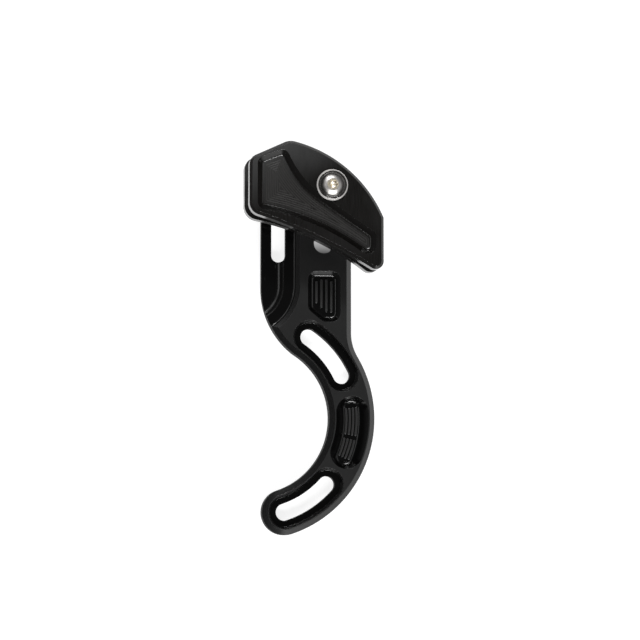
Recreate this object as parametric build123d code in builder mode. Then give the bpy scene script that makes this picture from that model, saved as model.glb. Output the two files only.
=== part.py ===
from build123d import *

import os
from math import acos, atan2, cos, degrees, radians, sin, tan

# Bicycle chain guide for ISCG-05 frame tabs, drawn as it sits on the bicycle.
# Origin: the bottom bracket axis, in the plane of the frame's tabs.
# +X is forward, +Z is up and -Y is outboard, towards the rider's right foot.
# Heights named "_h" are measured outboard from the tabs.

# Backplate: an arm around the bottom bracket and an upright above it
plate_t = 7.0
edge_chamfer = 2.0
iscg_r = 37.4
arm_w = 17.3
plate_left = 2.8
plate_right = 37.1
neck_z = 49.5
neck_angle = 58.4
neck_r = 8.0
shoulder_r = 17.5
top_corner_r = 4.0

# Two curved slots for the frame bolts, each sunk in a pocket for the bolt heads
slot_w = 6.4
slot_sweep = 29.7
slot_spread = 97.8
upper_slot_mid = 40.9
head_pocket_w = 11.0
head_pocket_depth = 3.5
head_pocket_draft = 13.0

# Stepped shelf at the rear edge, on which the guide's foot slides up and down
shelf_depth = 2.0
shelf_right = 14.69
shelf_z = 50.5
shelf_r = 17.8
step_depth = 1.5
step_foot_r = 4.0
ledge_w = 6.6
ramp_angle = 65.0

# Height slot in the shelf, with a sunk track for the bolt's head behind it
height_slot_x = 9.27
height_slot_w = 5.3
height_slot_low = 62.05
height_travel = 17.5
end_play = 0.35
slot_top_wall = 5.1
track_w = 9.6
track_depth = 1.8

# Lightening hole and the two shallow pockets
hole_x = 26.4
hole_rise = 12.3
hole_d = 7.7
window_depth = 1.7
window_left = 22.0
window_right = 31.1
window_web = 1.29
window_tall = 16.0
window_heel_w = 4.7
window_heel_rise = 3.85
window_toe_r = 2.0
window_corner_r = 1.75
arc_pocket_depth = 3.4
arc_pocket_w = 12.5
arc_pocket_start = -20.2
arc_pocket_sweep = 23.6
arc_pocket_side_run = 3.3
arc_pocket_end_run = 1.5

# Sloping walls of the shelf, the window and the panel; these and the curved pocket have a rounded foot
wall_slope = 45.0
wall_foot_r = 1.5

# Cage: inner guide, chain gap and outer guide share one outline
cage_left = -3.92
cage_right = 46.65
rear_high_z = 96.25
rear_low_z = 75.9
belly_x = 21.0
belly_z = 66.65
front_low_z = 52.6
front_high_z = 74.45
crown_x = 33.6
crown_z = 92.2
apex_x = 11.0
apex_z = 103.1
rear_low_r = 4.8
front_low_r = 3.0
front_high_r = 1.4
apex_r = 6.0
rear_high_r = 4.0
cage_clear = 0.4
inner_t = 4.6
inner_lip = 0.6
inner_belly_rise = 2.1
chain_gap = 8.3
outer_t = 5.5
cage_chamfer = 1.0
roof_r = 85.0
roof_inset = 0.8

# Foot of the inner guide
foot_half = 4.8
foot_clear = 0.25
step_clear = 0.15
foot_rear_gap = 0.5

# Sunk panel in the outer guide
panel_depth = 2.0
panel_left = 1.04
panel_rear_low = 78.8
panel_rear_high = 94.6
panel_peak_x = 8.7
panel_peak_z = 97.6
panel_knee_x = 22.5
panel_knee_z = 80.6
panel_right = 41.9
panel_front_high = 67.2
panel_front_low = 61.0
panel_sole_x = 22.4
panel_sole_z = 72.6
panel_corner_r = 1.0
panel_toe_r = 1.6

# Fasteners: an M5 flanged button screw, an M5 low-head bolt and two dowels
shank_d = 4.7
bore_d = 5.0
screw_x = 27.07
screw_z = 86.3
screw_hole_d = 5.3
flange_d = 11.8
flange_t = 1.0
flange_rim_w = 0.65
flange_rim_t = 0.6
dome_d = 9.4
dome_h = 1.4
dome_r = 7.3
crown_d = 4.6
socket_d = 4.3
socket_depth = 1.3
socket_tip_depth = 0.5
insert_d = 7.0
insert_flange_d = 8.4
insert_flange_t = 0.8
guide_insert_l = 8.0
height_insert_l = 6.0
thread_end_gap = 1.0
bolt_head_d = 9.0
bolt_head_t = 1.5
hex_socket = 3.0
hex_depth = 0.9
dowel_d = 3.0
dowel_l = 7.0
dowel_in_outer = 2.5
dowel_places = [(3.0, 91.0), (41.6, 77.2)]

# Sizes that follow from the ones above
arm_in = iscg_r - arm_w / 2
arm_out = iscg_r + arm_w / 2
notch_angle = degrees(acos(plate_right / arm_out))
upper_slot_start = upper_slot_mid - slot_sweep / 2
lower_slot_start = upper_slot_start - slot_spread
pocket_mouth_r = head_pocket_w / 2 + head_pocket_depth * tan(radians(head_pocket_draft))
seat_h = plate_t - head_pocket_depth
shelf_h = plate_t - shelf_depth
step_h = shelf_h - step_depth
height_bolt_z = height_slot_low + end_play + height_travel
height_slot_high = height_bolt_z + end_play
plate_top = height_slot_high + height_slot_w / 2 + slot_top_wall
inner_back_h = plate_t + cage_clear
channel_in_h = inner_back_h + inner_t
channel_out_h = channel_in_h + chain_gap
outer_front_h = channel_out_h + outer_t


def outboard(height):
    """Sketch plane at this height outboard of the frame's tabs: x forward, y up."""
    return Plane.XZ.offset(height)


def section_at(x, z):
    """Plane through an outboard axis: local x is the radius, local y the height."""
    return Plane(origin=(x, 0, z), x_dir=(1, 0, 0), z_dir=(0, 0, -1))


def polar(radius, angle):
    return (radius * cos(radians(angle)), radius * sin(radians(angle)))


def arc_slot(start, sweep, width):
    """Curved slot around the bottom bracket axis, in the sketch that is open."""
    end = start + sweep
    with BuildLine() as slot_edge:
        CenterArc((0, 0), iscg_r + width / 2, start, sweep)
        CenterArc(polar(iscg_r, end), width / 2, end, 180)
        CenterArc((0, 0), iscg_r - width / 2, start, sweep)
        CenterArc(polar(iscg_r, start), width / 2, start, -180)
    make_face(slot_edge.edges())


def sink_shelf(height, depth, inset, foot_r):
    """Cut a shelf open to the rear and the top, with a rounded lower end and a sloping wall."""
    right = shelf_right - inset
    radius = shelf_r - inset
    above = plate_top + shelf_r
    with BuildSketch(outboard(height)) as floor:
        with BuildLine() as foot:
            wall = Line((right, above), (right, shelf_z))
            bend = CenterArc((right - radius, shelf_z), radius, 0, -ramp_angle)
            ramp = PolarLine(bend @ 1, 2 * shelf_r, -90 - ramp_angle)
        with BuildLine() as open_side:
            rear = Line(ramp @ 1, ((ramp @ 1).X, above))
            Line(rear @ 1, wall @ 0)
        make_face(foot.edges() + open_side.edges())
    extrude(floor.sketch, amount=depth, mode=Mode.SUBTRACT)
    with BuildSketch(Plane((right, -height, above), (1, 0, 0), (0, 0, -1))) as section:
        with BuildLine() as section_edge:
            curve = CenterArc((0, foot_r), foot_r, -90, wall_slope)
            climb = depth - (curve @ 1).Y
            incline = PolarLine(curve @ 1, climb / sin(radians(wall_slope)), wall_slope)
            Polyline(incline @ 1, (0, depth), curve @ 0)
        make_face(section_edge.edges())
    foot_path = outboard(height).from_local_coords(foot.wire())
    sweep(section.sketch, path=foot_path, mode=Mode.SUBTRACT)


def floor_at(pocketed, height, near):
    """Flat floor at this height that lies nearest to this place."""
    flats = pocketed.faces().filter_by(Axis.Y)
    floors = flats.group_by(lambda flat: abs(flat.center().Y + height))[0]
    return floors.sort_by_distance((near[0], -height, near[1]))[0]


def cage_outline(belly_rise=0.0):
    """Outline shared by the two guides, in the sketch that is open."""
    with BuildLine() as outline:
        rear = Line((cage_left, rear_high_z), (cage_left, rear_low_z))
        belly = ThreePointArc(rear @ 1, (belly_x, belly_z + belly_rise), (cage_right, front_low_z))
        front = Line(belly @ 1, (cage_right, front_high_z))
        crown = ThreePointArc(front @ 1, (crown_x, crown_z), (apex_x, apex_z))
        Line(crown @ 1, rear @ 0)
    make_face(outline.edges())
    return (
        (rear @ 0, rear_high_r),
        (rear @ 1, rear_low_r),
        (belly @ 1, front_low_r),
        (front @ 1, front_high_r),
        (crown @ 1, apex_r),
    )


def round_corners(sketch, corners):
    for corner, radius in corners:
        fillet(sketch.vertices().sort_by_distance(corner)[0], radius)


def disc(height, x, z, diameter, length, mode=Mode.ADD):
    """Round boss or bore from this height outboard, in the part that is open."""
    with BuildSketch(outboard(height)) as profile:
        with Locations((x, z)):
            Circle(diameter / 2)
    extrude(profile.sketch, amount=length, mode=mode)


os.makedirs("parts", exist_ok=True)


# Backplate
with BuildPart() as backplate:
    with BuildSketch(outboard(0)) as plate_sketch:
        with BuildLine():
            rear_edge = Line((plate_left, plate_top), (plate_left, neck_z))
            neck = TangentArc(rear_edge @ 1, polar(arm_in, neck_angle), tangent=rear_edge % 1)
            CenterArc((0, 0), arm_in, neck_angle, lower_slot_start - neck_angle)
            CenterArc(polar(iscg_r, lower_slot_start), arm_w / 2, lower_slot_start + 180, 180)
            outer_edge = CenterArc((0, 0), arm_out, lower_slot_start, notch_angle - lower_slot_start)
            front_edge = Line(outer_edge @ 1, (plate_right, plate_top))
            Line(front_edge @ 1, rear_edge @ 0)
        make_face()
        fillet(plate_sketch.vertices().sort_by_distance(neck @ 1)[0], neck_r)
        fillet(plate_sketch.vertices().sort_by_distance(outer_edge @ 1)[0], shoulder_r)
        fillet(plate_sketch.vertices().group_by(Axis.Y)[-1], top_corner_r)
    extrude(amount=plate_t)
    chamfer(backplate.faces().sort_by(Axis.Y)[0].outer_wire().edges(), edge_chamfer)

    for slot_start in (lower_slot_start, upper_slot_start):
        with BuildSketch(outboard(seat_h)):
            arc_slot(slot_start, slot_sweep, head_pocket_w)
        extrude(amount=head_pocket_depth, taper=-head_pocket_draft, mode=Mode.SUBTRACT)
        with BuildSketch(outboard(0)):
            arc_slot(slot_start, slot_sweep, slot_w)
        extrude(amount=plate_t, mode=Mode.SUBTRACT)

    sink_shelf(shelf_h, shelf_depth, 0, wall_foot_r)
    sink_shelf(step_h, step_depth, ledge_w, step_foot_r)

    slot_middle = (height_slot_x, (height_slot_low + height_slot_high) / 2)
    slot_reach = height_slot_high - height_slot_low
    with BuildSketch(outboard(0)):
        with Locations(slot_middle):
            SlotCenterToCenter(slot_reach, height_slot_w, rotation=90)
    extrude(amount=plate_t, mode=Mode.SUBTRACT)
    with BuildSketch(outboard(0)):
        with Locations(slot_middle):
            SlotCenterToCenter(slot_reach, track_w, rotation=90)
    extrude(amount=track_depth, mode=Mode.SUBTRACT)

    # The window's slanting heel leaves a web of metal beside the upper frame-bolt pocket
    window_h = plate_t - window_depth
    slot_end_x, slot_end_z = polar(iscg_r, upper_slot_start + slot_sweep)
    heel_angle = atan2(window_heel_rise, window_heel_w)
    heel_reach = pocket_mouth_r + window_web + window_depth / tan(radians(wall_slope))
    heel_drop = heel_reach - (window_left - slot_end_x) * sin(heel_angle)
    window_heel_z = slot_end_z + heel_drop / cos(heel_angle)
    window_low = window_heel_z - window_heel_rise
    window_high = window_low + window_tall
    with BuildSketch(outboard(window_h)) as window_sketch:
        window_toe = (window_right, window_low)
        window_corners = (
            (window_right, window_high),
            (window_left, window_high),
            (window_left, window_heel_z),
            (window_left + window_heel_w, window_low),
        )
        with BuildLine():
            Polyline(window_toe, *window_corners, close=True)
        make_face()
        round_corners(window_sketch, [(corner, window_corner_r) for corner in window_corners])
        round_corners(window_sketch, [(window_toe, window_toe_r)])
    extrude(amount=window_depth, taper=wall_slope - 90, mode=Mode.SUBTRACT)
    window_floor = floor_at(backplate, window_h, (window_right, window_high))
    fillet(window_floor.outer_wire().edges(), wall_foot_r)

    disc(0, hole_x, window_high + hole_rise, hole_d, plate_t, mode=Mode.SUBTRACT)

    arc_pocket_h = plate_t - arc_pocket_depth
    floor_reach = degrees((arc_pocket_side_run - arc_pocket_end_run) / iscg_r)
    with BuildSketch(outboard(arc_pocket_h)):
        floor_w = arc_pocket_w - 2 * arc_pocket_side_run
        arc_slot(arc_pocket_start - floor_reach, arc_pocket_sweep + 2 * floor_reach, floor_w)
    with BuildSketch(outboard(plate_t)):
        arc_slot(arc_pocket_start, arc_pocket_sweep, arc_pocket_w)
    loft(ruled=True, mode=Mode.SUBTRACT)
    arc_pocket_floor = floor_at(backplate, arc_pocket_h, polar(iscg_r, arc_pocket_start))
    fillet(arc_pocket_floor.outer_wire().edges(), wall_foot_r)
backplate.part.label = "backplate"
export_step(backplate.part, "parts/backplate.step")


# Inner guide: side plate, roof over the chain, and the foot that slides on the shelf
with BuildPart() as inner_guide:
    with BuildSketch(outboard(inner_back_h)) as inner_sketch:
        round_corners(inner_sketch, cage_outline(inner_belly_rise))
        offset(amount=inner_lip, mode=Mode.REPLACE)
    extrude(amount=inner_t)
    with BuildSketch(outboard(channel_in_h)) as roof_sketch:
        round_corners(roof_sketch, cage_outline())
        offset(amount=-roof_inset, mode=Mode.REPLACE)
        Circle(roof_r, mode=Mode.SUBTRACT)
    extrude(amount=chain_gap)

    foot_right = shelf_right - foot_clear
    step_right = shelf_right - ledge_w
    foot_left = plate_left + foot_rear_gap
    with BuildSketch(outboard(shelf_h)):
        with Locations(((foot_left + foot_right) / 2, height_bolt_z)):
            Rectangle(foot_right - foot_left, 2 * foot_half)
    extrude(amount=inner_back_h - shelf_h)
    tongue_w = step_right - foot_clear - foot_left
    with BuildSketch(outboard(step_h + step_clear)):
        with Locations((foot_left + tongue_w / 2, height_bolt_z)):
            Rectangle(tongue_w, 2 * foot_half)
    extrude(amount=step_depth - step_clear)

    insert_low_h = channel_in_h - height_insert_l
    disc(step_h, height_slot_x, height_bolt_z, screw_hole_d, channel_in_h - step_h, mode=Mode.SUBTRACT)
    disc(insert_low_h, height_slot_x, height_bolt_z, insert_d, height_insert_l, mode=Mode.SUBTRACT)
    lip_h = channel_in_h - insert_flange_t
    access_l = channel_out_h - lip_h
    disc(lip_h, height_slot_x, height_bolt_z, insert_flange_d, access_l, mode=Mode.SUBTRACT)
    sleeve_h = channel_out_h - guide_insert_l
    disc(sleeve_h, screw_x, screw_z, insert_d, guide_insert_l, mode=Mode.SUBTRACT)
    pin_h = channel_out_h + dowel_in_outer - dowel_l
    for pin_x, pin_z in dowel_places:
        disc(pin_h, pin_x, pin_z, dowel_d, dowel_l, mode=Mode.SUBTRACT)
inner_guide.part.label = "inner_guide"
export_step(inner_guide.part, "parts/inner_guide.step")


# Outer guide: side plate with the sunk panel
with BuildPart() as outer_guide:
    with BuildSketch(outboard(channel_out_h)) as outer_sketch:
        round_corners(outer_sketch, cage_outline())
    extrude(amount=outer_t)
    chamfer(outer_guide.faces().sort_by(Axis.Y)[0].outer_wire().edges(), cage_chamfer)
    panel_h = outer_front_h - panel_depth
    with BuildSketch(outboard(panel_h)) as panel_sketch:
        with BuildLine():
            back = Line((panel_left, panel_rear_low), (panel_left, panel_rear_high))
            brow = Line(back @ 1, (panel_peak_x, panel_peak_z))
            slope = Line((panel_right, panel_front_high), (panel_knee_x, panel_knee_z))
            TangentArc(slope @ 1, brow @ 1, tangent=slope % 1)
            nose = Line(slope @ 0, (panel_right, panel_front_low))
            ThreePointArc(nose @ 1, (panel_sole_x, panel_sole_z), back @ 0)
        make_face()
        panel_corners = (back @ 0, back @ 1, brow @ 1, slope @ 0)
        round_corners(panel_sketch, [(corner, panel_corner_r) for corner in panel_corners])
        round_corners(panel_sketch, [(nose @ 1, panel_toe_r)])
    extrude(amount=panel_depth, taper=wall_slope - 90, mode=Mode.SUBTRACT)
    panel_floor = floor_at(outer_guide, panel_h, (panel_left, panel_rear_high))
    fillet(panel_floor.outer_wire().edges(), wall_foot_r)
    disc(channel_out_h, screw_x, screw_z, screw_hole_d, outer_t, mode=Mode.SUBTRACT)
    for pin_x, pin_z in dowel_places:
        disc(channel_out_h, pin_x, pin_z, dowel_d, dowel_in_outer, mode=Mode.SUBTRACT)
outer_guide.part.label = "outer_guide"
export_step(outer_guide.part, "parts/outer_guide.step")


# Guide screw: flanged button head with a six-point socket
with BuildPart() as guide_screw:
    dome_edge_h = outer_front_h + flange_t
    dome_top_h = dome_edge_h + dome_h
    with BuildSketch(section_at(screw_x, screw_z)):
        with BuildLine():
            axis_line = Line((0, sleeve_h + thread_end_gap), (0, dome_top_h))
            crown_line = Line(axis_line @ 1, (crown_d / 2, dome_top_h))
            dome_line = RadiusArc(crown_line @ 1, (dome_d / 2, dome_edge_h), dome_r)
            Polyline(
                dome_line @ 1,
                (flange_d / 2 - flange_rim_w, dome_edge_h),
                (flange_d / 2, outer_front_h + flange_rim_t),
                (flange_d / 2, outer_front_h),
                (shank_d / 2, outer_front_h),
                (shank_d / 2, sleeve_h + thread_end_gap),
                axis_line @ 0,
            )
        make_face()
    revolve(axis=Axis((screw_x, 0, screw_z), (0, -1, 0)))
    socket_h = dome_top_h - socket_depth
    with BuildSketch(outboard(socket_h)):
        with Locations((screw_x, screw_z)):
            RegularPolygon(socket_d / 2, 3)
            RegularPolygon(socket_d / 2, 3, rotation=180)
    extrude(amount=socket_depth, mode=Mode.SUBTRACT)
    tip_r = socket_d / 4
    with BuildSketch(section_at(screw_x, screw_z)):
        with BuildLine():
            Polyline((0, socket_h - socket_tip_depth), (tip_r, socket_h), (0, socket_h), close=True)
        make_face()
    revolve(axis=Axis((screw_x, 0, screw_z), (0, -1, 0)), mode=Mode.SUBTRACT)
guide_screw.part.label = "guide_screw"
export_step(guide_screw.part, "parts/guide_screw.step")


# Threaded sleeve for the guide screw, set in the roof
with BuildPart() as guide_insert:
    disc(sleeve_h, screw_x, screw_z, insert_d, guide_insert_l)
    disc(sleeve_h, screw_x, screw_z, bore_d, guide_insert_l, mode=Mode.SUBTRACT)
guide_insert.part.label = "guide_insert"
export_step(guide_insert.part, "parts/guide_insert.step")


# Flanged threaded sleeve for the height bolt, set in the foot from the chain's side
with BuildPart() as height_insert:
    disc(insert_low_h, height_slot_x, height_bolt_z, insert_d, height_insert_l)
    disc(lip_h, height_slot_x, height_bolt_z, insert_flange_d, insert_flange_t)
    disc(insert_low_h, height_slot_x, height_bolt_z, bore_d, height_insert_l, mode=Mode.SUBTRACT)
height_insert.part.label = "height_insert"
export_step(height_insert.part, "parts/height_insert.step")


# Height bolt: its low head runs in the track behind the plate
with BuildPart() as height_bolt:
    head_h = track_depth - bolt_head_t
    disc(head_h, height_slot_x, height_bolt_z, bolt_head_d, bolt_head_t)
    thread_l = channel_in_h - thread_end_gap - track_depth
    disc(track_depth, height_slot_x, height_bolt_z, shank_d, thread_l)
    with BuildSketch(outboard(head_h)):
        with Locations((height_slot_x, height_bolt_z)):
            RegularPolygon(hex_socket / 2, 6, major_radius=False)
    extrude(amount=hex_depth, mode=Mode.SUBTRACT)
height_bolt.part.label = "height_bolt"
export_step(height_bolt.part, "parts/height_bolt.step")


# Dowels that key the outer guide to the roof
with BuildPart() as guide_dowels:
    for pin_x, pin_z in dowel_places:
        disc(pin_h, pin_x, pin_z, dowel_d, dowel_l)
guide_dowels.part.label = "guide_dowels"
export_step(guide_dowels.part, "parts/guide_dowels.step")
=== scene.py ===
import math

import bmesh
import bpy
from mathutils import Matrix, Vector


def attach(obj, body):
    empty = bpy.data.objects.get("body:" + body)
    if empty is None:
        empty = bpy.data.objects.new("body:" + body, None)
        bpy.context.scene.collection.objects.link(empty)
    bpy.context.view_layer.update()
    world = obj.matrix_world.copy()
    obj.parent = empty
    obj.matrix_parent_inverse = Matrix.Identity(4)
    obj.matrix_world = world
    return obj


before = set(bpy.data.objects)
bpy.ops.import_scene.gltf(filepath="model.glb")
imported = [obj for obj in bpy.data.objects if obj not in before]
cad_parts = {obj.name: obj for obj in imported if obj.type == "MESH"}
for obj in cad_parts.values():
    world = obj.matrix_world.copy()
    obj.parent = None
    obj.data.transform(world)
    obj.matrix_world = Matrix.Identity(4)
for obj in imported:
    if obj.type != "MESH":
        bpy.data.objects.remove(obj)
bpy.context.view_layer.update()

MM = 0.001

# Places on the guide in millimetres: h outboard of the frame's tabs, x forward, z up
FACE_H = 7.0
SEAT_H = 3.5
WINDOW_FLOOR_H = 5.3
HOLE_X = 26.4
HOLE_Z = 67.7

# Sunk panel of the outer guide: its floor, and that floor's outline as places in x and z
PANEL_FLOOR_H = 23.8
PANEL_LEFT = 1.04
PANEL_RIGHT = 41.9
PANEL_BROW = Vector((PANEL_LEFT, 94.6)), Vector((8.7, 97.6))
PANEL_SLOPE = Vector((22.5, 80.6)), Vector((PANEL_RIGHT, 67.2))
PANEL_SOLE = Vector((PANEL_RIGHT, 61.0)), Vector((22.4, 72.6)), Vector((PANEL_LEFT, 78.8))

# Curved pocket about the bottom bracket axis, with walls that run in farther at its sides than at its ends
ARC_R = 37.4
ARC_START = -20.2
ARC_SWEEP = 23.6
ARC_W = 12.5
ARC_DEPTH = 3.4
ARC_SIDE_RUN = 3.3
ARC_END_RUN = 1.5
ARC_FLOOR_H = FACE_H - ARC_DEPTH
ARC_FLOOR_END_R = ARC_W / 2 - ARC_SIDE_RUN
ARC_FLOOR_REACH = math.degrees((ARC_SIDE_RUN - ARC_END_RUN) / ARC_R)

# Radius at the foot of the curved pocket's end walls, how far round it goes, and how far up the slope
FOOT_R = 1.5
FOOT_SWING = 80
FOOT_SHARE = 0.9
FOOT_PROUD = 0.03
FOOT_TUCK = 0.02

# Plain raised ribs: in the window (x, lower end, upper end) and in the curved pocket (radii, spans)
RIB_H = 0.55
RIB_W = 0.85
RIB_SINK = 0.1
RIB_EDGE_R = 0.16
WINDOW_RIBS = (23.7, 43.8, 52.3), (25.6, 42.0, 53.0), (27.5, 40.4, 53.0), (29.4, 40.2, 52.3)
ARC_RIBS = 35.45, 36.75, 38.05, 39.35
ARC_RIB_SPANS = (-23.4, -11.8), (-9.6, 6.4)
SPIN_STEPS = 12

# Lines that the cutter left on the panel's floor
MARK_PITCH = 0.8
MARK_H = 0.09
MARK_SINK = 0.012
MARK_EDGE = 0.66
MARK_FADE = 0.4
MARK_GRID = 0.16

# Thickness of a skin that lies on a floor, and the angle past which an edge is a sharp one
SKIN = 0.15
SHARP_DEGREES = 40

# Guide screw: its axis, and the radii of its socket, its crown, the inside of its rim, and past its head
SCREW_X = 27.07
SCREW_Z = 86.3
SOCKET_R = 2.15
CROWN_R = 3.5
RIM_R = 5.42
HEAD_R = 6.15

# Guides: x / 2 - z where their faces start and stop to darken with painted shade, and x of their lower
# walls' dull stretch
SHADE_START = -96
SHADE_STOP = -76
DULL_START = 1.5, 3.5
DULL_STOP = 13, 11

# Studio, in metres, watts and parts of white
LENS_MM = 134.92
SENSOR_MM = 36.0
CAMERA_PLACE = Vector((-0.093, -0.9065, -0.045))
CAMERA_AIM = Vector((0.02497, -0.0065, 0.0373))
LAMP_AIM = Vector((0.022, -0.007, 0.03))
SOFTBOXES = {
    "top_softbox": ((-0.08, -0.72, 0.78), 0.42, 0.13, 5.7),
    "bottom_softbox": ((0.12, -0.75, -0.66), 0.8, 0.11, 9.0),
    "left_softbox": ((-0.58, -0.86, 0.13), 0.26, 0.5, 0.6),
    "upper_left_softbox": ((-0.42, -0.8, 0.55), 0.3, 0.3, 0.42),
    "right_softbox": ((0.68, -0.72, 0.1), 0.4, 0.6, 0.7),
}
TABLE_MIDDLE = Vector((0.02, 0.0015, 0.03))
TABLE_HALF_WIDTH = 2.0
TABLE_GLOW = 0.84
ROOM_LIGHT = 0.04
ROOM_SIDE_LIGHT = 0.12
FLOOR_STRIP_LIGHT = 2.8


class Nodes:
    """A node tree, with one short call per node."""

    def __init__(self, tree):
        self.tree = tree

    def put(self, socket, value):
        if isinstance(value, bpy.types.NodeSocket):
            self.tree.links.new(value, socket)
        else:
            socket.default_value = value

    def add(self, kind, inputs=(), **settings):
        node = self.tree.nodes.new(kind)
        for key, value in settings.items():
            setattr(node, key, value)
        for key, value in dict(inputs).items():
            self.put(node.inputs[key], value)
        return node

    def math(self, operation, a, b=0.0):
        return self.add("ShaderNodeMath", {0: a, 1: b}, operation=operation).outputs[0]

    def both(self, first, *others):
        """Where all of these hold."""
        for other in others:
            first = self.math("MULTIPLY", first, other)
        return first

    def most(self, a, b):
        return self.math("MAXIMUM", a, b)

    def band(self, value, low, high, to_low=0.0, to_high=1.0):
        inputs = {"Value": value, "From Min": low, "From Max": high, "To Min": to_low, "To Max": to_high}
        return self.add("ShaderNodeMapRange", inputs).outputs["Result"]

    def pick(self, mask, without, within):
        """One number outside a mask and another within it."""
        return self.band(mask, 0.0, 1.0, without, within)

    def blend(self, factor, a, b):
        return self.add("ShaderNodeMix", {0: factor, 6: a, 7: b}, data_type="RGBA").outputs[2]

    def split(self, vector):
        return self.add("ShaderNodeSeparateXYZ", {0: vector}).outputs


class Finish(Nodes):
    """A material, with the nodes that read a place on its piece."""

    def __init__(self, name):
        self.material = bpy.data.materials.new(name)
        self.material.use_nodes = True
        super().__init__(self.material.node_tree)
        self.shader = self.tree.nodes["Principled BSDF"]

    def set(self, **sockets):
        for key, value in sockets.items():
            self.put(self.shader.inputs[key.replace("_", " ")], value)

    def place(self):
        return self.add("ShaderNodeTexCoord").outputs["Object"]

    def stretch(self, at, scale, turn=(0.0, 0.0, 0.0)):
        inputs = {"Vector": at, "Scale": scale, "Rotation": turn}
        return self.add("ShaderNodeMapping", inputs).outputs["Vector"]

    def noise(self, at, scale, detail=3.0, roughness=0.5):
        inputs = {"Vector": at, "Scale": scale, "Detail": detail, "Roughness": roughness}
        return self.add("ShaderNodeTexNoise", inputs).outputs["Fac"]

    def vary(self, grain, low=0.0, high=1.0):
        """Spread the middle of a noise between two numbers."""
        return self.band(grain, 0.3, 0.7, low, high)

    def facing(self):
        return self.split(self.add("ShaderNodeNewGeometry").outputs["True Normal"])

    def upright(self):
        """1 on walls that stand square to the plate, 0 on floors, faces and slopes."""
        return self.band(self.math("ABSOLUTE", self.facing()["Y"]), 0.3, 0.1)

    def away_from(self, x, z):
        """Distance from an axis that stands square to the plate at x, z millimetres."""
        at = self.split(self.place())
        dx = self.math("SUBTRACT", at["X"], x * MM)
        dz = self.math("SUBTRACT", at["Z"], z * MM)
        square = self.math("ADD", self.math("MULTIPLY", dx, dx), self.math("MULTIPLY", dz, dz))
        return self.math("SQRT", square)

    def soft_edges(self, radius):
        return self.add("ShaderNodeBevel", {"Radius": radius}, samples=6).outputs["Normal"]

    def bump(self, height, distance, strength, normal=None):
        inputs = {"Height": height, "Distance": distance, "Strength": strength}
        if normal is not None:
            inputs["Normal"] = normal
        return self.add("ShaderNodeBump", inputs).outputs["Normal"]


def grey(value, warm=0.0):
    return (value * (1 + warm), value, value * (1 - warm), 1.0)


# Finishes

def anodised_plate():
    """Black anodised aluminium: fine satin faces, glossier slopes and floors, dull upright walls."""
    n = Finish("black_anodised_plate")
    at = n.place()
    y = n.split(at)["Y"]
    front = n.band(y, (0.03 - FACE_H) * MM, (0.01 - FACE_H) * MM)
    back = n.band(y, -0.03 * MM, -0.01 * MM)
    face = n.most(front, back)
    grain = n.noise(at, 5200.0, 4.0, 0.6)
    cloud = n.noise(at, 90.0, 2.0)
    face_tone = n.blend(n.band(cloud, 0.35, 0.65), grey(0.0042), grey(0.006))
    cut_tone = n.blend(n.vary(grain), grey(0.0014), grey(0.0026))
    # Paler streaks on the seats around the frame-bolt slots
    seat = n.math("LESS_THAN", n.math("ABSOLUTE", n.math("ADD", y, SEAT_H * MM)), 0.6 * MM)
    streaks = n.noise(n.stretch(at, (1.0, 1.0, 0.22), (0.0, 0.6, 0.0)), 900.0, 2.0)
    pale_seat_streaks = n.both(n.band(streaks, 0.7, 0.76), seat, n.band(cloud, 0.5, 0.58))
    n.set(Base_Color=n.blend(face, n.blend(pale_seat_streaks, cut_tone, grey(0.05)), face_tone))
    rough = n.most(n.pick(face, 0.18, 0.42), n.pick(n.upright(), 0.0, 0.85))
    n.set(Roughness=n.math("ADD", rough, n.vary(grain, -0.03, 0.03)), Specular_IOR_Level=0.5)
    n.set(Normal=n.bump(grain, 0.012 * MM, n.pick(face, 0.15, 0.9), n.soft_edges(0.18 * MM)))
    return n.material


def raised_rib():
    """Tops of the plain ribs in the pockets: brushed, a little lighter than the floor."""
    n = Finish("brushed_rib")
    grain = n.noise(n.place(), 4200.0, 4.0, 0.6)
    n.set(Base_Color=n.blend(n.vary(grain), grey(0.012), grey(0.022)))
    n.set(Roughness=n.vary(grain, 0.3, 0.45), Specular_IOR_Level=0.5)
    n.set(Normal=n.bump(grain, 0.01 * MM, 0.8))
    return n.material


def machined_guide(name, tone):
    """Black plastic cut on a mill: satin faces with painted shade, darker from the upper rear down, glossy
    slopes and walls.
    """
    n = Finish(name)
    at = n.place()
    spot = n.split(at)
    facing = n.facing()
    lines = n.noise(n.stretch(at, (1.0, 1.0, 0.06)), 2600.0, 2.0)
    cloud = n.noise(at, 60.0, 2.0)
    # Painted shade: the faces' colour runs from light at the upper rear to dark at the lower front; slopes
    # and walls keep the dark tone
    down = n.math("SUBTRACT", n.math("MULTIPLY", spot["X"], 0.5), spot["Z"])
    painted_shade = n.band(down, SHADE_START * MM, SHADE_STOP * MM)
    painted_shade = n.math("ADD", painted_shade, n.band(cloud, 0.35, 0.65, -0.1, 0.1))
    dark = grey(tone * 0.35, 0.1)
    flat = n.band(n.math("ABSOLUTE", facing["Y"]), 0.9, 0.97)
    n.set(Base_Color=n.blend(flat, dark, n.blend(painted_shade, grey(tone * 2.1), dark)))
    stretch = n.both(*(n.band(spot["X"], a * MM, b * MM) for a, b in (DULL_START, DULL_STOP)))
    lower_wall = n.both(stretch, n.upright(), n.band(facing["Z"], -0.4, -0.6))
    satin = n.math("MULTIPLY", flat, n.pick(painted_shade, 0.43, 0.25))
    rough = n.most(n.most(satin, 0.14), n.pick(lower_wall, 0.0, 0.8))
    n.set(Roughness=n.math("ADD", rough, n.vary(lines, 0.0, 0.08)), Specular_IOR_Level=0.5)
    n.set(Normal=n.bump(lines, 0.006 * MM, 0.4, n.soft_edges(0.15 * MM)))
    return n.material


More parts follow.
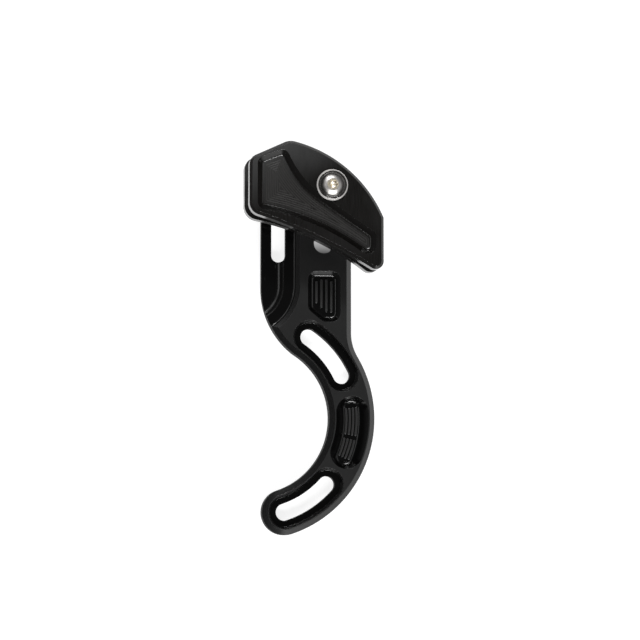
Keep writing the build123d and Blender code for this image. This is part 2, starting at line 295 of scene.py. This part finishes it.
def cutter_marks(name, tone):
    """Floor of the panel: the ridges that the cutter left are glossier and carry a painted sheen in their
    colour, the grooves stay dull.
    """
    n = Finish(name)
    at = n.place()
    ridge = n.band(n.split(at)["Y"], -PANEL_FLOOR_H * MM, -(PANEL_FLOOR_H + MARK_H) * MM)
    grain = n.noise(at, 3000.0, 3.0)
    # The ridges' lighter colour is a painted sheen; their lower roughness is real
    n.set(Base_Color=n.blend(ridge, grey(tone * 0.7, 0.05), grey(tone * 1.9, 0.05)))
    rough = n.math("ADD", n.pick(ridge, 0.46, 0.36), n.vary(grain, -0.04, 0.04))
    n.set(Roughness=rough, Specular_IOR_Level=0.5)
    n.set(Normal=n.bump(grain, 0.006 * MM, 0.6))
    return n.material


def stainless_screw():
    """Steel. The guide screw has a golden socket brightened with painted light, a satin crown, a glossy
    flank darkened with painted shade and a dull rim paled with a painted highlight.
    """
    n = Finish("stainless_screw")
    grain = n.noise(n.place(), 3800.0, 3.0)
    radius = n.away_from(SCREW_X, SCREW_Z)
    head = n.band(radius, (HEAD_R + 0.05) * MM, (HEAD_R - 0.05) * MM)
    socket = n.band(radius, (SOCKET_R + 0.1) * MM, (SOCKET_R - 0.1) * MM)
    shaded_flank = n.both(n.band(radius, (CROWN_R - 0.5) * MM, (CROWN_R + 0.5) * MM), head)
    rim = n.both(n.band(radius, (RIM_R - 0.1) * MM, (RIM_R + 0.05) * MM), head)
    steel = n.blend(n.vary(grain), grey(0.5, 0.03), grey(0.58, 0.03))
    # Painted light on one steel: the flank's dark grey is painted shade, the socket's bright gold a painted
    # glow, the rim's pale grey a painted highlight
    steel = n.blend(shaded_flank, steel, grey(0.2, 0.04))
    steel = n.blend(socket, steel, (0.84, 0.77, 0.64, 1.0))
    rough = n.most(n.pick(shaded_flank, 0.42, 0.26), n.pick(rim, 0.0, 0.8))
    n.set(Base_Color=n.blend(rim, steel, grey(0.62, 0.02)), Metallic=1.0)
    n.set(Roughness=n.math("ADD", rough, n.vary(grain, -0.03, 0.03)))
    n.set(Normal=n.bump(grain, 0.004 * MM, 0.2, n.soft_edges(0.2 * MM)))
    return n.material


def turned_brass():
    """Brass of the threaded sleeves, with the fine rings of a lathe."""
    n = Finish("turned_brass")
    grain = n.noise(n.stretch(n.place(), (1.0, 6.0, 1.0)), 1800.0, 2.0)
    n.set(Base_Color=n.blend(n.vary(grain), (0.62, 0.45, 0.18, 1.0), (0.76, 0.58, 0.27, 1.0)))
    n.set(Metallic=1.0, Roughness=n.vary(grain, 0.25, 0.38))
    return n.material


# Pieces that the solids leave out

def new_piece(name, bm, body, finish):
    """Make a shape a piece of the scene that rides on a body."""
    bmesh.ops.recalc_face_normals(bm, faces=bm.faces)
    for face in bm.faces:
        face.smooth = True
    mesh = bpy.data.meshes.new(name)
    bm.to_mesh(mesh)
    bm.free()
    mesh.set_sharp_from_angle(angle=math.radians(SHARP_DEGREES))
    mesh.materials.append(finish)
    piece = bpy.data.objects.new(name, mesh)
    bpy.context.scene.collection.objects.link(piece)
    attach(piece, body)


def join(bm, group):
    """Move a finished shape into the group that it belongs to."""
    mesh = bpy.data.meshes.new("shape")
    bm.to_mesh(mesh)
    bm.free()
    group.from_mesh(mesh)
    bpy.data.meshes.remove(mesh)


def thicken(bm):
    """Give a sheet on a floor its back, which lies inside the solid."""
    sunk = bmesh.ops.extrude_face_region(bm, geom=bm.faces[:])["geom"]
    lower = [v for v in sunk if isinstance(v, bmesh.types.BMVert)]
    bmesh.ops.translate(bm, verts=lower, vec=(0.0, SKIN * MM, 0.0))


def soften(bm, edges, radius, segments):
    bmesh.ops.bevel(
        bm, geom=edges, offset=radius * MM, segments=segments, profile=0.5, affect="EDGES", material=-1
    )


def round_rib(bm):
    """Round a rib's ends and upper edges."""
    sharp = [e for e in bm.edges if e.calc_face_angle(0.0) > 1.0]
    ends = [e for e in sharp if abs(e.verts[0].co.y - e.verts[1].co.y) > 0.5 * RIB_H * MM]
    soften(bm, ends, 0.4 * RIB_W, 4)
    top = min(v.co.y for v in bm.verts)
    rim = [e for e in bm.edges if e.calc_face_angle(0.0) > 1.0 and all(v.co.y < top + 1e-7 for v in e.verts)]
    soften(bm, rim, RIB_EDGE_R, 2)


def rib_middle(floor_h):
    """Y of the middle of a rib that stands on a floor and is sunk in it a little."""
    return -(floor_h + (RIB_H - RIB_SINK) / 2)


def window_ribs():
    """Upright ribs on the floor of the window."""
    group = bmesh.new()
    for x, low, high in WINDOW_RIBS:
        bm = bmesh.new()
        bmesh.ops.create_cube(bm, size=MM)
        bmesh.ops.scale(bm, verts=bm.verts, vec=(RIB_W, RIB_H + RIB_SINK, high - low))
        middle = Vector((x, rib_middle(WINDOW_FLOOR_H), (low + high) / 2))
        bmesh.ops.translate(bm, verts=bm.verts, vec=middle * MM)
        round_rib(bm)
        join(bm, group)
    return group


def arc_rib(radius, start, end):
    """One rib of the curved pocket, spun about the bottom bracket axis."""
    bm = bmesh.new()
    bmesh.ops.create_grid(bm, x_segments=1, y_segments=1, size=0.5 * MM)
    bmesh.ops.scale(bm, verts=bm.verts, vec=(RIB_W, RIB_H + RIB_SINK, 1.0))
    bmesh.ops.translate(bm, verts=bm.verts, vec=Vector((radius, rib_middle(ARC_FLOOR_H), 0.0)) * MM)
    turn = Matrix.Rotation(-math.radians(start), 3, "Y")
    bmesh.ops.rotate(bm, verts=bm.verts, cent=(0, 0, 0), matrix=turn)
    bmesh.ops.spin(
        bm,
        geom=bm.verts[:] + bm.edges[:] + bm.faces[:],
        cent=(0, 0, 0),
        axis=(0, 1, 0),
        angle=-math.radians(end - start),
        steps=SPIN_STEPS,
    )
    bmesh.ops.recalc_face_normals(bm, faces=bm.faces)
    round_rib(bm)
    return bm


def arc_ribs():
    """Curved ribs on the floor of the curved pocket, in two groups."""
    group = bmesh.new()
    for radius in ARC_RIBS:
        for start, end in ARC_RIB_SPANS:
            join(arc_rib(radius, start, end), group)
    return group


def arc_foot(angle, out):
    """Smooth radius at the foot of the wall, around one end of the curved pocket's floor."""
    bm = bmesh.new()
    bmesh.ops.create_grid(bm, x_segments=28, y_segments=10, size=0.5)
    ahead = math.radians(angle + out * 90)
    middle = ARC_R * Vector((math.cos(math.radians(angle)), math.sin(math.radians(angle))))
    for v in bm.verts:
        swing = 2 * v.co.x * math.radians(FOOT_SWING)
        run = ARC_SIDE_RUN - (ARC_SIDE_RUN - ARC_END_RUN) * math.cos(swing)
        steep = math.atan(ARC_DEPTH / run)
        tilt = (v.co.y + 0.5) * FOOT_SHARE * steep
        reach = ARC_FLOOR_END_R - FOOT_R * math.tan(steep / 2) + FOOT_R * math.sin(tilt) - FOOT_TUCK
        rise = FOOT_R * (1 - math.cos(tilt)) + FOOT_PROUD
        spot = middle + reach * Vector((math.cos(ahead + swing), math.sin(ahead + swing)))
        v.co = Vector((spot.x, -(ARC_FLOOR_H + rise), spot.y)) * MM
    thicken(bm)
    bmesh.ops.recalc_face_normals(bm, faces=bm.faces)
    return bm


def arc_feet():
    group = bmesh.new()
    join(arc_foot(ARC_START + ARC_SWEEP + ARC_FLOOR_REACH, 1), group)
    join(arc_foot(ARC_START - ARC_FLOOR_REACH, -1), group)
    return group


def circle_through(a, b, c):
    """Middle and radius of the circle through three places."""
    ab, ac = b - a, c - a
    cross = 2 * (ab.x * ac.y - ab.y * ac.x)
    off = Vector((ac.y * ab.length_squared - ab.y * ac.length_squared,
                  ab.x * ac.length_squared - ac.x * ab.length_squared)) / cross
    return a + off, off.length


def panel_reach(place):
    """How far this place lies inside the outline of the panel's floor."""
    low, peak = PANEL_BROW
    knee, toe = PANEL_SLOPE
    along = (toe - knee).normalized()
    across = Vector((-along.y, along.x))
    sole, sole_r = circle_through(*PANEL_SOLE)
    brow = (peak - low).normalized()
    offset = place - knee
    if offset.dot(along) > 0:
        upper = -offset.dot(across)
    else:
        chord = peak - knee
        bend_r = chord.length_squared / (2 * chord.dot(across))
        upper = (offset - across * bend_r).length - bend_r
    return min(
        place.x - PANEL_LEFT,
        PANEL_RIGHT - place.x,
        (place - low).dot(Vector((brow.y, -brow.x))),
        upper,
        (place - sole).length - sole_r,
    )


def panel_marks():
    """Fine ridges that follow the panel's outline, as the cutter cleared its floor."""
    bm = bmesh.new()
    width = PANEL_RIGHT - PANEL_LEFT
    low, high = PANEL_SOLE[0].y, PANEL_BROW[1].y
    columns, rows = round(width / MARK_GRID), round((high - low) / MARK_GRID)
    bmesh.ops.create_grid(bm, x_segments=columns, y_segments=rows, size=0.5)
    bmesh.ops.scale(bm, verts=bm.verts, vec=(width * MM, (high - low) * MM, 1.0))
    bmesh.ops.rotate(bm, verts=bm.verts, cent=(0, 0, 0), matrix=Matrix.Rotation(math.radians(90), 3, "X"))
    middle = Vector((PANEL_LEFT + width / 2, -PANEL_FLOOR_H, (low + high) / 2))
    bmesh.ops.translate(bm, verts=bm.verts, vec=middle * MM)
    outside = []
    for v in bm.verts:
        reach = panel_reach(Vector((v.co.x, v.co.z)) / MM)
        if reach < MARK_EDGE:
            outside.append(v)
        wave = 1 - abs(math.sin(math.pi * reach / MARK_PITCH))
        rise = min(max((reach - MARK_EDGE) / MARK_FADE, 0.0), 1.0)
        v.co.y -= (MARK_H * wave * rise - MARK_SINK) * MM
    bmesh.ops.delete(bm, geom=outside, context="VERTS")
    thicken(bm)
    return bm


# Camera and studio

def set_camera():
    data = bpy.data.cameras.new("photo_camera")
    data.sensor_width = SENSOR_MM
    data.sensor_fit = "HORIZONTAL"
    data.lens = LENS_MM
    data.clip_start = 0.01
    camera = bpy.data.objects.new("photo_camera", data)
    bpy.context.scene.collection.objects.link(camera)
    camera.location = CAMERA_PLACE
    camera.rotation_euler = (CAMERA_AIM - CAMERA_PLACE).to_track_quat("-Z", "Y").to_euler()
    bpy.context.scene.camera = camera


def softbox(name, place, width, height, watts):
    data = bpy.data.lights.new(name, "AREA")
    data.shape = "RECTANGLE"
    data.size = width
    data.size_y = height
    data.energy = watts
    lamp = bpy.data.objects.new(name, data)
    bpy.context.scene.collection.objects.link(lamp)
    lamp.location = place
    lamp.rotation_euler = (LAMP_AIM - Vector(place)).to_track_quat("-Z", "Y").to_euler()


def white_table():
    """A glowing white sheet with a painted shadow where it shows through the round hole, and clear from
    behind.
    """
    n = Finish("white_table")
    height = n.split(n.place())["Z"]
    # Painted shadow behind the round hole: the sheet's colour and glow drop there, most towards the bottom
    # of the hole
    painted_shade = n.band(n.away_from(HOLE_X + 1.0, HOLE_Z), 6.0 * MM, 5.0 * MM)
    shaded_glow = n.band(height, (HOLE_Z - 4.0) * MM, (HOLE_Z + 1.0) * MM, 0.08, 0.5)
    n.set(Base_Color=n.blend(painted_shade, grey(0.35), grey(0.05)), Roughness=0.9, Specular_IOR_Level=0.0)
    glow = n.math("ADD", n.pick(painted_shade, TABLE_GLOW, 0.0), n.math("MULTIPLY", painted_shade, shaded_glow))
    n.set(Emission_Color=grey(1.0), Emission_Strength=glow)
    clear = n.add("ShaderNodeBsdfTransparent").outputs[0]
    behind = n.add("ShaderNodeNewGeometry").outputs["Backfacing"]
    surface = n.add("ShaderNodeMixShader", {0: behind, 1: n.shader.outputs[0], 2: clear}).outputs[0]
    n.put(n.tree.nodes["Material Output"].inputs["Surface"], surface)
    return n.material


def set_table():
    """White table just behind the guide's back. It is seen from the guide's side only."""
    bm = bmesh.new()
    bmesh.ops.create_grid(bm, x_segments=1, y_segments=1, size=TABLE_HALF_WIDTH)
    bmesh.ops.rotate(bm, verts=bm.verts, cent=(0, 0, 0), matrix=Matrix.Rotation(math.radians(90), 3, "X"))
    bmesh.ops.translate(bm, verts=bm.verts, vec=TABLE_MIDDLE)
    mesh = bpy.data.meshes.new("white_table")
    bm.to_mesh(mesh)
    bm.free()
    mesh.materials.append(white_table())
    table = bpy.data.objects.new("white_table", mesh)
    bpy.context.scene.collection.objects.link(table)
    table.visible_diffuse = False
    table.visible_shadow = False


def set_world():
    """White behind the guide, a dim room in front with a bright strip below, and white for the camera."""
    world = bpy.data.worlds.new("studio")
    bpy.context.scene.world = world
    world.use_nodes = True
    n = Nodes(world.node_tree)
    way = n.split(n.add("ShaderNodeTexCoord").outputs["Generated"])
    rays = n.add("ShaderNodeLightPath").outputs
    room = n.blend(n.band(way["Y"], -0.4, -0.1), grey(ROOM_LIGHT), grey(ROOM_SIDE_LIGHT))
    low = n.band(way["Z"], -0.6, -0.95)
    strip = n.both(low, n.band(way["X"], -0.15, 0.2), n.band(way["Y"], -0.22, -0.08))
    room = n.blend(strip, room, grey(FLOOR_STRIP_LIGHT))
    not_overhead = n.most(n.band(way["Z"], 0.6, 0.1), n.band(way["Y"], 0.2, 0.5))
    behind = n.both(n.band(way["Y"], -0.1, 0.12), not_overhead)
    seen = n.most(rays["Is Camera Ray"], rays["Is Transmission Ray"])
    colour = n.blend(n.most(behind, seen), room, grey(1.0))
    n.put(n.tree.nodes["Background"].inputs["Color"], colour)


set_camera()
set_world()
set_table()
for lamp_name, settings in SOFTBOXES.items():
    softbox(lamp_name, *settings)

plate_finish = anodised_plate()
screw_finish = stainless_screw()
brass_finish = turned_brass()
FINISHES = {
    "backplate": plate_finish,
    "inner_guide": machined_guide("inner_guide_plastic", 0.012),
    "outer_guide": machined_guide("outer_guide_plastic", 0.012),
    "guide_screw": screw_finish,
    "height_bolt": screw_finish,
    "guide_dowels": screw_finish,
    "guide_insert": brass_finish,
    "height_insert": brass_finish,
}
for node_name, finish in FINISHES.items():
    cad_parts[node_name].material_slots[0].material = finish

rib_finish = raised_rib()
marks_finish = cutter_marks("panel_floor_plastic", 0.013)
new_piece("window_ribs", window_ribs(), "plate", rib_finish)
new_piece("curved_pocket_ribs", arc_ribs(), "plate", rib_finish)
new_piece("curved_pocket_feet", arc_feet(), "plate", plate_finish)
new_piece("panel_cutter_marks", panel_marks(), "cage", marks_finish)

bpy.context.scene.view_settings.view_transform = "Standard"
